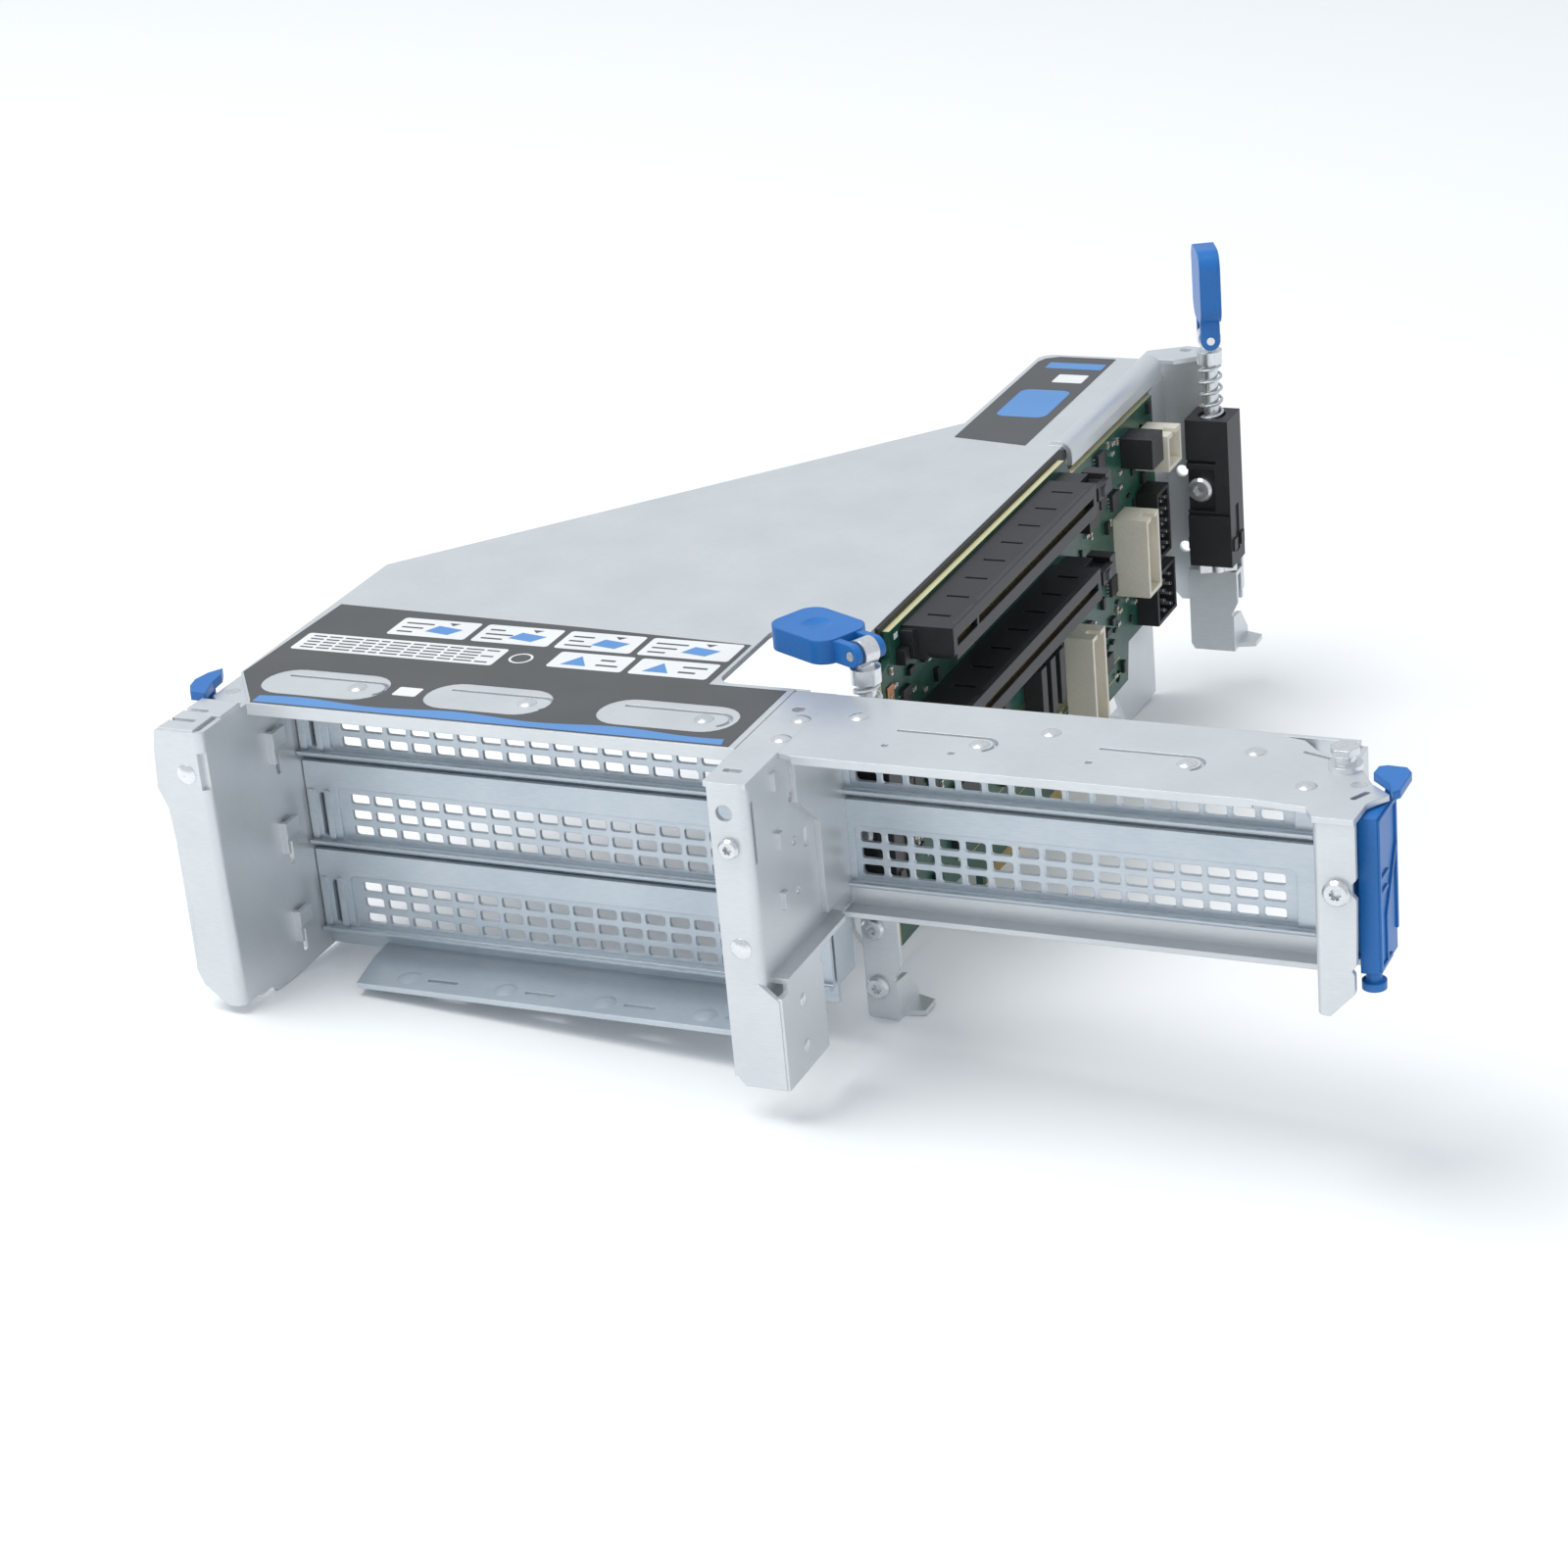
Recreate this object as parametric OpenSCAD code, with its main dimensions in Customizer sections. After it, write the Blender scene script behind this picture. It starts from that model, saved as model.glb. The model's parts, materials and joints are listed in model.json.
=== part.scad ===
// Riser cage of a two-unit rack server: a folded sheet-steel cage with perforated slot
// blanks, a riser circuit board on its own side plate, two swivel latches and two retainers.
// Millimetres. X runs across the slots, Y into the server, Z up. The origin lies on the top
// cover's upper face, in the plane of the left slot blanks, at their first column of holes.

/* [Sheet steel] */
// Thickness of the cage's sheets
sheet_t = 1.2; // [0.8:0.1:1.5]
// Thickness of a slot blank
blank_t = 0.9; // [0.6:0.1:1.2]
// Outer radius of a bend
bend_r = 2.0; // [1.6:0.1:2.6]

/* [Slots] */
// Distance from one slot to the next
slot_pitch = 20.32; // [19.5:0.01:20.6]
// Columns of holes in a blank
hole_cols = 16; // [12:1:16]
// Rows of holes in a blank
hole_rows = 3; // [2:1:3]
// Distance between two columns
hole_pitch_x = 5.51; // [5.1:0.01:5.6]
// Distance between two rows
hole_pitch_z = 3.6; // [3.2:0.1:3.9]
// Width of a hole
hole_w = 4.5; // [3.6:0.1:4.7]
// Height of a hole
hole_h = 2.3; // [1.8:0.1:2.6]
// Corner radius of a hole
hole_r = 0.6; // [0.3:0.1:0.8]
// Depth that a blank's middle is pressed back
recess_depth = 0.8; // [0.5:0.1:1.2]

/* [Left cage] */
// Inner width of the three-slot cage
cage_w = 117.8; // [116:0.2:122]
// Room from the side panel to the first column of holes
cage_margin = 12.5; // [12:0.1:13]
// Distance from the blanks to the front faces of the posts
post_reach = 35; // [30:0.5:40]
// Distance from the blanks to the front edge of the top cover
cover_reach = 19.5; // [17:0.5:22]
// Width of the left post's front face
left_post_w = 11.6; // [10:0.2:13]
// Height of the left side panel
side_h = 64.5; // [63.5:0.1:66]

/* [Top cover] */
// Depth of the cover behind the blanks
cover_depth = 223; // [210:1:235]
// Depth of the cover's full-width part
cover_straight = 58; // [50:1:70]
// Width of the cover's rear neck
neck_w = 28.6; // [24:0.2:32]
// Depth at which the neck begins
neck_start = 170; // [160:1:180]
// Length of the rolled bead along the neck
bead_len = 65; // [50:1:66]
// Outer radius of the rolled bead
bead_r = 3.1; // [2.4:0.1:3.4]

/* [Wing] */
// Length of the two-slot wing, from the divider to the end post
wing_len = 105.5; // [104:0.5:110]
// Distance that the wing's blanks stand behind the left ones
wing_back = 7.4; // [6:0.2:9]
// Depth of the wing's top flange in front of its blanks
wing_reach = 27.7; // [24:0.1:28.5]
// Height of the wing's back wall
wing_h = 46.1; // [45:0.1:48]
// Width of the end post's front face
end_post_w = 8.1; // [7.5:0.1:9]

/* [Riser board] */
// Distance from the cover's edge to the board's component face
board_gap = 2.5; // [2.3:0.1:3]
// Thickness of the circuit board
board_t = 1.6; // [1.2:0.1:1.7]
// Length of a slot connector
connector_len = 89; // [85:0.5:92]
// Height of a slot connector above the board
connector_h = 11.5; // [10.5:0.1:12]
// Thickness of a slot connector
connector_t = 7.5; // [7:0.1:8]
// Depth at which the connectors begin
connector_start = 51.7; // [50:0.1:54]

/* [Latches] */
// Radius of a latch shaft
shaft_r = 1.9; // [1.6:0.1:2.1]
// Radial play of a shaft or pin in its bore
running_gap = 0.05; // [0.02:0.01:0.09]
// Length of a latch handle, from its pin
handle_len = 22.5; // [20:0.5:25]
// Width of a latch handle
handle_w = 13.5; // [12:0.5:15]
// Thickness of a latch handle
handle_t = 5; // [4:0.1:5]
// Radius of a handle's hinge pin
hinge_r = 1.0; // [0.8:0.1:1.2]
// Height of a latch's hinge pin over the cover
hinge_z = 6.6; // [6.2:0.1:8]
// Wire radius of a latch spring
wire_r = 0.4; // [0.3:0.05:0.5]

/* [Retainers] */
// Radius of a retainer's hinge pin
pivot_r = 1.5; // [1.2:0.1:1.6]
// Height of a retainer
retainer_h = 31; // [28:0.5:33]

/* [Hidden] */

$fn = 48;
eps = 0.05;

steel = "#b9c2c8";
blue = "#1f6fc4";
black = "#262626";
green = "#14493a";
cream = "#e8e2d0";

// Planes that several pieces share
cage_x0 = -cage_margin;
cage_x1 = cage_x0 + cage_w;
divider_x = cage_x1 + sheet_t;
post_y = -post_reach;
cover_y0 = -cover_reach;
cover_x1 = 100.5;
board_x1 = cover_x1 + board_gap;
board_x0 = board_x1 - board_t;
wing_x1 = divider_x + wing_len;
wing_y = wing_back;
wing_front = wing_y - wing_reach;
end_y = wing_front - 4.2;
wall_y = blank_t;
wing_wall_y = wing_y + blank_t;
lattice_drop = slot_pitch / 2 + 2.4;
near_x = 110;
near_y = 16.6;
rear_x = 115.5;
rear_y = cover_depth - 1;
guide_top = -13;
near_guide_h = 33;
rear_guide_h = 37.8;
lower_x = divider_x + 3.5;
board_plate_x = cover_x1 - sheet_t;
blank_gap = 0.7;

function slot_top(i) = 0.2 - slot_pitch * i;

// ---------- drawing aids ----------

// A flat sheet across X, Y or Z, from a drawing of its face
module sheet_yz(x, t = sheet_t) {
    translate([x, 0, 0]) rotate([90, 0, 90]) linear_extrude(t) children();
}
module sheet_xz(y, t = sheet_t) {
    translate([0, y + t, 0]) rotate([90, 0, 0]) linear_extrude(t) children();
}
module sheet_xy(z, t = sheet_t) {
    translate([0, 0, z]) linear_extrude(t) children();
}

// A rounded rectangle between two corners
module rounded(a, b, r) {
    size = b - a;
    translate(a + [r, 0]) square([size.x - 2 * r, size.y]);
    translate(a + [0, r]) square([size.x, size.y - 2 * r]);
    for (x = [r, size.x - r], y = [r, size.y - r]) translate(a + [x, y]) circle(r);
}

// A slot with round ends, centred on a point
module slot_at(p, len, r, turn = 0) {
    translate(p) rotate(turn) {
        square([len - 2 * r, 2 * r], center = true);
        for (s = [-1, 1]) translate([s * (len / 2 - r), 0]) circle(r);
    }
}

// The section of a bend: its outer corner at the origin, its legs along +X and +Y
module bend_section(a, b, r = bend_r, t = sheet_t) {
    translate([r, 0]) square([a - r, t]);
    translate([0, r]) square([t, b - r]);
    intersection() {
        translate([r, r]) difference() {
            circle(r);
            circle(r - t);
        }
        square(r);
    }
}

// The low dome of a rivet's head, along +Z
module rivet(r = 2.2) intersection() {
    translate([0, 0, -r * 1.4]) sphere(r * 1.75);
    cylinder(h = r, r = r);
}

// A pan-head screw with a six-lobed socket, along +Z
module pan_screw(r = 2.6, h = 1.6, shank = 3) {
    difference() {
        union() {
            cylinder(h = h * 0.6, r = r);
            translate([0, 0, h * 0.6]) cylinder(h = h * 0.4, r1 = r, r2 = r * 0.8);
            translate([0, 0, -shank]) cylinder(h = shank + eps, r = r * 0.5);
        }
        translate([0, 0, h * 0.4]) for (k = [0:2]) rotate(60 * k)
            translate([-r * 0.42, -r * 0.13, 0]) cube([r * 0.84, r * 0.26, h]);
        translate([0, 0, h * 0.4]) cylinder(h = h, r = r * 0.3);
    }
}

// The cut that frees a spring tongue: a straight run that hooks round a round end
module tongue_cut(len, gap = 0.9) {
    hook_r = 3.1;
    difference() {
        union() {
            translate([len - hook_r, 0]) circle(hook_r + gap / 2);
            translate([0, hook_r - gap / 2]) square([len - hook_r, gap]);
        }
        translate([len - hook_r, 0]) circle(hook_r - gap / 2);
        translate([len - 3 * hook_r, -2 * hook_r]) square([2 * hook_r, 3 * hook_r - gap / 2]);
        translate([len - 2.4 * hook_r, -2 * hook_r]) square([1.9 * hook_r, hook_r * 1.2]);
    }
}

// ---------- slot blanks ----------

module hole_grid(x, z) {
    for (c = [0:hole_cols - 1], r = [0:hole_rows - 1])
        translate([x + c * hole_pitch_x, z + (r - (hole_rows - 1) / 2) * hole_pitch_z])
            rounded([-hole_w / 2, -hole_h / 2], [hole_w / 2, hole_h / 2], hole_r);
}

// A slot blank: a band above, a pressed-in middle with the holes, and a rolled lower edge
module slot_blank(x0, x1, first, y, slot_z, top, ribs) {
    lip_r = 1.3;
    h = top - (slot_z - slot_pitch + blank_gap + lip_r);
    face = y - recess_depth;
    in_x0 = first - hole_w / 2 - (ribs ? 2.6 : 1.0);
    in_x1 = first + (hole_cols - 1) * hole_pitch_x + hole_w / 2 + 2.4;
    in_z0 = slot_z - lattice_drop - 6.4;
    in_z1 = slot_z - lattice_drop + 6.2;
    step_r = 1.5;
    lap = 0.5;
    difference() {
        union() {
            sheet_xz(face, blank_t) difference() {
                translate([x0, top - h]) square([x1 - x0, h]);
                rounded([in_x0, in_z0], [in_x1, in_z1], step_r);
            }
            sheet_xz(y, blank_t)
                rounded([in_x0 - lap, in_z0 - lap], [in_x1 + lap, in_z1 + lap], step_r + lap);
            // the step between the band and the pressed middle
            sheet_xz(face, recess_depth + blank_t) difference() {
                rounded([in_x0 - lap, in_z0 - lap], [in_x1 + lap, in_z1 + lap], step_r + lap);
                rounded([in_x0, in_z0], [in_x1, in_z1], step_r);
            }
            // the lower edge, rolled forward
            sheet_yz(x0, x1 - x0) translate([face + blank_t - lip_r, top - h])
                intersection() {
                    difference() {
                        circle(lip_r);
                        circle(lip_r - blank_t);
                    }
                    translate([-lip_r, -lip_r]) square([2 * lip_r, lip_r]);
                }
            if (ribs) for (x = [x0 + 1.3, in_x0 - 2.2])
                sheet_xz(face - 0.5, 0.6) slot_at([x, (in_z0 + in_z1) / 2], 11.5, 0.75, 90);
        }
        sheet_xz(y - 2, 4) hole_grid(first, slot_z - lattice_drop);
        if (ribs) sheet_xz(face - 1, 3) slot_at([(x0 + in_x0) / 2, (in_z0 + in_z1) / 2], 10, 0.7, 90);
    }
}

module left_blank(i) {
    color("#c4ccd2")
        slot_blank(cage_x0 + 0.2, cage_x1 - 0.2, 0, 0, slot_top(i),
            i == 0 ? -sheet_t : slot_top(i) - blank_gap, true);
}

module wing_blank(i) {
    color("#c4ccd2")
        slot_blank(divider_x + sheet_t, wing_x1 - 8.6, divider_x + sheet_t + 4.6, wing_y,
            -slot_pitch * i, -slot_pitch * i - (i == 0 ? sheet_t : blank_gap), false);
}

// ---------- the cage's sheets ----------

module cover_outline() {
    left = cage_x0 - 9.2;
    neck_x = cover_x1 - neck_w;
    corner = 4;
    polygon(concat(
        [[cage_x0 + 1.3, cover_y0], [cage_x1 - 7.8, cover_y0], [cage_x1 - 7.8, 10], [cover_x1, 10],
         [cover_x1, cover_depth], [neck_x + corner, cover_depth]],
        [for (a = [105:15:165]) [neck_x + corner + corner * cos(a), cover_depth - corner + corner * sin(a)]],
        [[neck_x, neck_start], [left, cover_straight], [left + 0.6, -5], [cage_x0 + 1.3, -18.6]]));
}

module top_cover() color(steel) {
    bead_x = cover_x1 - bead_r + 2.2;
    bead_y = cover_depth - bead_len;
    notch = [80, 10.5];
    difference() {
        union() {
            sheet_xy(-sheet_t) difference() {
                cover_outline();
                // the way of the near latch
                rounded(notch, [cover_x1 + 6, 40], 3.5);
                translate([cover_x1 - 6, notch.y]) square([8, 29.5]);
                // the neck's edge is rolled up into the bead
                translate([bead_x, bead_y]) square([20, bead_len + 1]);
                for (x = [-12.5, 25.3, 64.1]) translate([x + 3, -7.4]) tongue_cut(24);
                slot_at([-17, 20], 8, 1.2, 90);
            }
            // front edge turned down
            translate([cage_x0 + 1.3, cover_y0, -2.6]) cube([cage_w - 9.1, sheet_t, 2.6]);
            // the rolled bead
            sheet_xz(bead_y, bead_len) translate([bead_x, -bead_r + sheet_t * 0.9]) intersection() {
                difference() {
                    circle(bead_r);
                    circle(bead_r - sheet_t);
                }
                translate([-bead_r, 0]) square([2 * bead_r, bead_r]);
            }
            sheet_xz(bead_y, bead_len) translate([bead_x + bead_r - sheet_t, -bead_r - 1.5])
                square([sheet_t, 2.7 + eps]);
            translate([bead_x - bead_r, bead_y, -bead_r]) cube([sheet_t, bead_len, bead_r]);
        }
        translate([bead_x, bead_y - eps, -bead_r + sheet_t * 0.9]) rotate([-90, 0, 0])
            cylinder(h = bead_len + 2, r = bead_r - sheet_t);
    }
}

module left_side_panel() color(steel) {
    outer = cage_x0 - sheet_t;
    edge = cage_x0 - left_post_w;
    back = cover_straight - 2;
    pivot = left_pivot_at();
    difference() {
        union() {
            // front face, with its stepped outer edge
            intersection() {
                translate([0, 0, -side_h]) linear_extrude(side_h - 0.5)
                    translate([cage_x0, post_y]) mirror([1, 0]) bend_section(left_post_w + 1, 8);
                sheet_xz(post_y - 1, 20) polygon([[cage_x0 + 1, -0.5], [cage_x0 + 1, -61.6],
                    [cage_x0 - 3.6, -61.6], [edge + 2.9, -57.3], [edge + 1.6, -54], [edge + 2.9, -41.6],
                    [edge + 2, -28.4], [edge + 1.2, -17.5], [edge - 0.6, -13.3], [edge, -4.6],
                    [edge + 0.8, -0.5]]);
            }
            // side wall
            sheet_yz(outer) polygon([[post_y + 7, -0.5], [post_y + 7, -62.3], [-23, -62.5],
                [-21.5, -side_h], [8, -side_h], [12, -60], [12, -22], [20, -12], [back, -8],
                [back, -sheet_t], [cover_y0, -sheet_t], [cover_y0 - 0.3, -0.5]]);
            // flange under the cover, which also holds the retainer's pin
            sheet_xy(-2 * sheet_t) polygon([[cage_x0 - 1, pivot.y - 5], [pivot.x - 1, pivot.y - 5],
                [pivot.x - 3, pivot.y - 3], [pivot.x - 3, back - 4], [cage_x0 - 1, back - 4]]);
            sheet_xy(left_floor_z() - sheet_t) {
                translate([pivot.x, pivot.y - 4.5]) square([cage_x0 - 0.5 - pivot.x, 9]);
                translate(pivot) circle(4.5);
            }
            // return of the outer edge
            sheet_yz(edge + 1.4) polygon([[post_y + 0.5, -18], [post_y + 0.5, -54], [post_y + 9, -50],
                [post_y + 9, -20]]);
            // top tab between the front face and the cover
            sheet_xy(-1.2) polygon([[edge + 1.4, post_y + 0.4], [cage_x0 - 2, post_y + 0.4],
                [cage_x0 - 2, cover_y0 + 0.3], [edge + 2.4, cover_y0 + 0.3]]);
            sheet_xy(-1.2) translate([cage_x0 - 2.2, post_y + 8]) square([2, 7.5]);
            // hooks that hold the ends of the blanks
            for (i = [0:2]) translate([cage_x0 - eps, -12.5, slot_top(i) - 17]) {
                cube([1.6, 1, 7]);
                translate([0.8, 0, 3.5]) cube([1, 5, 3.5]);
            }
        }
        for (i = [0:2]) translate([outer - 1, 0, 0])
            sheet_yz(0, 3) slot_at([-9.4, slot_top(i) - 18], 5, 0.8, 90);
        for (y = [post_y + 5, post_y + 10]) sheet_xy(-3, 4) slot_at([cage_x0 - 7, y], 6, 0.7);
        translate([pivot.x, pivot.y, left_floor_z() - 3]) cylinder(h = retainer_h + 8, r = pivot_r);
        // the slit on the fold
        translate([cage_x0 - 1.6, post_y - 1, -13]) cube([3, 2.2, 8]);
        sheet_xz(post_y - 1, 4) translate([cage_x0 - 4.8, -9.7]) circle(1.1);
    }
}

module divider_panel() color(steel) {
    strip_x = cage_x1 - 7.6;
    back = wing_wall_y + sheet_t;
    wall_h = 44;
    foot_z = -64.3;
    difference() {
        union() {
            // front face and side wall, one fold
            intersection() {
                translate([0, 0, foot_z]) linear_extrude(-foot_z)
                    translate([divider_x, post_y]) mirror([1, 0])
                        bend_section(divider_x - strip_x - 0.8, back - post_y);
                sheet_xz(post_y - 1, 80) polygon([[strip_x, 0], [strip_x, foot_z + 2], [divider_x, foot_z + 2],
                    [divider_x + 1, 0]]);
                sheet_yz(strip_x - 1, 20) polygon([[post_y - 1, 0], [post_y - 1, foot_z],
                    [post_y + 4, foot_z], [post_y + 12, -wall_h], [back, -wall_h], [back, 0]]);
            }
            // wider foot of the front face
            sheet_xz(post_y) polygon([[strip_x + 1.8, foot_z + 1.4], [strip_x + 3.1, foot_z],
                [lower_x - 0.6, foot_z], [lower_x - 0.6, -45.1], [divider_x - 1, -41.8], [strip_x + 1, -41.8]]);
            sheet_yz(lower_x - sheet_t) polygon([[post_y + 0.2, foot_z], [-15.5, foot_z], [-15.5, -46],
                [-17, -44.5], [post_y + 0.2, -44.5]]);
            // ledge
            sheet_xy(-43) polygon([[cage_x1, post_y + 3.5], [lower_x, post_y + 3.5], [lower_x, -3],
                [lower_x - 2, -1], [cage_x1, -1]]);
            translate([lower_x - sheet_t, post_y + 3.5, -45.2]) cube([sheet_t, 15.5, 2.4]);
            // tabs pressed out of the wall
            for (z = [-4.4, -16.7, -29.2]) translate([divider_x - eps, -23.8, z - 1.8]) cube([1, 1.6, 3.6]);
            // top strip, folded to the left
            sheet_xy(-sheet_t) polygon([[strip_x, post_y + 0.4], [divider_x, post_y + 0.4],
                [divider_x, 9.7], [strip_x + 0.4, 9.7], [strip_x, 8.5]]);
        }
        sheet_xz(post_y - 1, 4) {
            translate([divider_x - 4.8, -6.2]) circle(1.7);
            translate([divider_x - 4.3, -13.3]) circle(1.05);
        }
        sheet_yz(cage_x1 - 1, 4) {
            slot_at([-32.6, -10.8], 13, 0.6, 90);
            for (z = [-10.8, -20.1, -30.5]) translate([-15.8, z]) circle(0.9);
            rounded([-11.3, -23.6], [-9.4, -19.6], 0.5);
            slot_at([-5.2, -30.4], 7, 0.5, 90);
        }
        sheet_xy(-3, 4) {
            slot_at([divider_x - 5, post_y + 6], 4, 0.8);
            translate([divider_x - 4.4, 1]) circle(1.3);
        }
    }
}

module slot_wall() color(steel) {
    flange_z = -63.8;
    side = 9;
    win_x0 = -3.4;
    win_x1 = (hole_cols - 1) * hole_pitch_x + 3.4;
    difference() {
        union() {
            sheet_xz(wall_y) translate([cage_x0, flange_z]) square([cage_w, -flange_z - sheet_t]);
            // flanges along the side panel and the divider
            for (x = [cage_x0, cage_x1 - sheet_t])
                sheet_yz(x) translate([wall_y, -60]) square([side, 52]);
            // bottom flange
            sheet_xy(flange_z) polygon([[1, wall_y + sheet_t], [1.7, -6.1], [4, -17.5], [90.5, -17.5],
                [91.5, -16.5], [91.5, wall_y + sheet_t]]);
            for (k = [0:3]) translate([14 + 22.6 * k, -12.8, flange_z + sheet_t]) intersection() {
                translate([0, 0, -5.4]) sphere(6);
                cylinder(h = 2, r = 3);
            }
        }
        for (i = [0:2]) sheet_xz(wall_y - 1, 3)
            rounded([win_x0, slot_top(i) - 18], [win_x1, slot_top(i) - 7], 1.5);
        sheet_xy(flange_z - 1, 4) for (k = [0:3]) slot_at([22 + 22.6 * k, -12.8], 7, 0.6);
    }
}

module wing_top_outline() {
    x1 = wing_x1;
    y0 = wing_front;
    yb = wing_wall_y + sheet_t;
    polygon([[divider_x, y0 + 1], [divider_x + 3, y0], [x1 - 12, y0], [x1 - 1.6, y0 - 1.2],
        [x1 + 0.4, end_y - 0.6], [x1 + end_post_w, end_y - 0.6], [x1 + end_post_w + 0.3, -17.6],
        [x1 + end_post_w + 3.2, -13], [x1 + end_post_w - 1, -9.2], [x1 + 3.6, -3.3],
        [x1 - 6.5, 3.1], [x1 - 10, yb - 2.4], [x1 - 19, yb], [divider_x, yb]]);
}

module wing_frame() color(steel) {
    yb = wing_wall_y + sheet_t;
    win_x0 = divider_x + sheet_t + 1.8;
    win_x1 = win_x0 + (hole_cols - 1) * hole_pitch_x + 6.2;
    pivot = right_pivot_at();
    difference() {
        union() {
            sheet_xy(-sheet_t) wing_top_outline();
            sheet_xz(wing_wall_y) translate([divider_x, -wing_h]) square([wing_len, wing_h]);
            // end flange on the divider
            sheet_yz(divider_x) polygon([[wing_front + 5, -sheet_t + eps], [wing_front + 5, -12],
                [-6, -20], [-6, -40], [yb, -40], [yb, -sheet_t + eps]]);
            // bottom rail, folded forward
            translate([divider_x, yb - 5, -wing_h]) cube([wing_len - 3, 5, sheet_t]);
            // front edge turned down
            translate([divider_x + 3, wing_front, -1.8]) cube([wing_len - 15, sheet_t, 1.8]);
        }
        for (i = [0:1]) sheet_xz(wing_wall_y - 1, 3)
            rounded([win_x0, -slot_pitch * i - 18.2], [win_x1, -slot_pitch * i - 7], 1.5);
        sheet_xy(-2, 3) {
            for (x = [divider_x + 18.6, divider_x + 59.4]) translate([x, -7.6]) tongue_cut(21);
            for (p = [[18.9, -10.2], [32.7, -11], [59.4, -9.5]])
                translate([divider_x + p.x, p.y - 1.6]) circle(0.7);
            slot_at([wing_x1 + 6.4, -14.5], 4.5, 0.6, 60);
            translate(pivot) circle(pivot_r);
            // slit at the end of the blanks
            slot_at([wing_x1 - 4.6, 0.6], 9, 0.5, -20);
        }
    }
}

module end_post() color(steel) {
    x = wing_x1;
    back = wing_wall_y + sheet_t;
    pivot = right_pivot_at();
    floor_z = right_floor_z();
    difference() {
        union() {
            // front face and web, one fold
            intersection() {
                translate([0, 0, -39.8]) linear_extrude(39.8 - sheet_t)
                    translate([x, end_y]) bend_section(end_post_w + 1, back - end_y);
                union() {
                    sheet_xz(end_y - 1, 4) polygon([[x - 1, 0], [x - 1, -39.8], [x + 2.7, -39.8],
                        [x + 7.4, -34.8], [x + 7.4, -31], [x + 6.9, -30.3], [x + 7.8, -29],
                        [x + end_post_w, -16], [x + 7.3, -15], [x + 7.3, -13], [x + end_post_w, -12],
                        [x + end_post_w, 0]]);
                    sheet_yz(x - 1, 4) polygon([[end_y + 3, 0], [end_y + 3, -39.8], [-14, -39.8], [-10, -38],
                        [back, -38], [back, 0]]);
                }
            }
            // shelf that carries the retainer's pin
            sheet_xy(floor_z - sheet_t) {
                translate([x, pivot.y - 4.5]) square([pivot.x - x, 9]);
                translate(pivot) circle(4.5);
            }
        }
        translate([pivot.x, pivot.y, floor_z - 3]) cylinder(h = 4, r = pivot_r);
        sheet_yz(x - 1, 4) rounded([-4, -26], [4, -12], 1);
        sheet_xz(end_y - 1, 4) translate([x + 4.6, -14.6]) circle(1.3);
    }
}

// ---------- riser board and its side plate ----------

// Where the left-hand connectors reach through the side plate and its insulator
module connector_windows() {
    room = 1;
    for (i = [0:2]) rounded([connector_start - 1.2 - room, left_z(i) - room],
        [connector_start + connector_len + 9 + room, left_z(i) + connector_t + room], 0.9);
}

module board_plate() color(steel) {
    x = board_plate_x;
    difference() {
        union() {
            sheet_yz(x) polygon([[22, -14], [22, -58], [30, -68], [168, -68], [185, -72], [192, -84.1],
                [214, -84.1], [214, -66], [cover_depth - 1, -60], [cover_depth - 1, -sheet_t - 4],
                [cover_depth - 1, -sheet_t], [42, -sheet_t], [42, -14]]);
            // flange under the cover
            translate([x - 10, 44, -2 * sheet_t]) cube([10 + eps, 110, sheet_t]);
            // bent stiffener at the foot
            translate([x - 4, 194, -84.1]) cube([4 + eps, 18, sheet_t]);
        }
        sheet_yz(x - 1, 4) connector_windows();
    }
}

module insulator_sheet() color(black) sheet_yz(cover_x1, board_x0 - cover_x1) difference() {
    polygon([[40, -9], [40, -50], [46, -56], [166, -56],
        [182, -58], [206, -58], [214, -50], [214, -8], [158, -8], [156, -0.2], [44, -0.2], [44, -9]]);
    connector_windows();
}

module board_outline() {
    polygon([[45.2, -6.8], [45.2, -1.3], [152, -1.3], [156, -6], [214, -6], [214, -60.5], [188.9, -60.5],
        [187.1, -69.8], [170.5, -69.8], [168.5, -73.9], [168.5, -80], [86, -80], [86, -74], [78, -70],
        [39.5, -70], [39.5, -8.5], [43, -7.6]]);
}

module riser_board() color(green) sheet_yz(board_x0, board_t) difference() {
    board_outline();
    slot_at([127, -77.5], 6, 0.9, 90);
    for (p = [[43.5, -20], [43.5, -62], [205, -12], [180, -66]]) translate(p) circle(1.6);
}

// A slot connector on the board, drawn along +X: its body, the card slot with its key, the
// ribs along its back and the forked end block with the pin of the card lever
lever_at = [4.4, connector_len + 5.4];
lever_pin_r = 0.9;
module slot_connector() {
    len = connector_len;
    key = 14.5;
    slot_w = 1.8;
    fork = 2.4;
    difference() {
        union() {
            cube([connector_h, len, connector_t]);
            translate([0, -1.2, 0.8]) cube([3, len + 2.4, connector_t - 1.6]);
            translate([0, len - eps, 1.2]) cube([6.5, 9, connector_t - 2.4]);
        }
        translate([connector_h - 8, 2, (connector_t - slot_w) / 2]) cube([9, key - 3, slot_w]);
        translate([connector_h - 8, key, (connector_t - slot_w) / 2])
            cube([9, len - key - 2, slot_w]);
        for (k = [0:7]) translate([3.5, 6 + 10.8 * k, connector_t - 0.5]) cube([5, 1, 1]);
        translate([5.5, -2, -1]) cube([7, 3.4, 2.4]);
        translate([2.2, len + 2, (connector_t - fork) / 2]) cube([5, 8, fork]);
    }
    translate([lever_at.x, lever_at.y, connector_t / 2]) cylinder(h = fork + 1, r = lever_pin_r, center = true);
}

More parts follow.
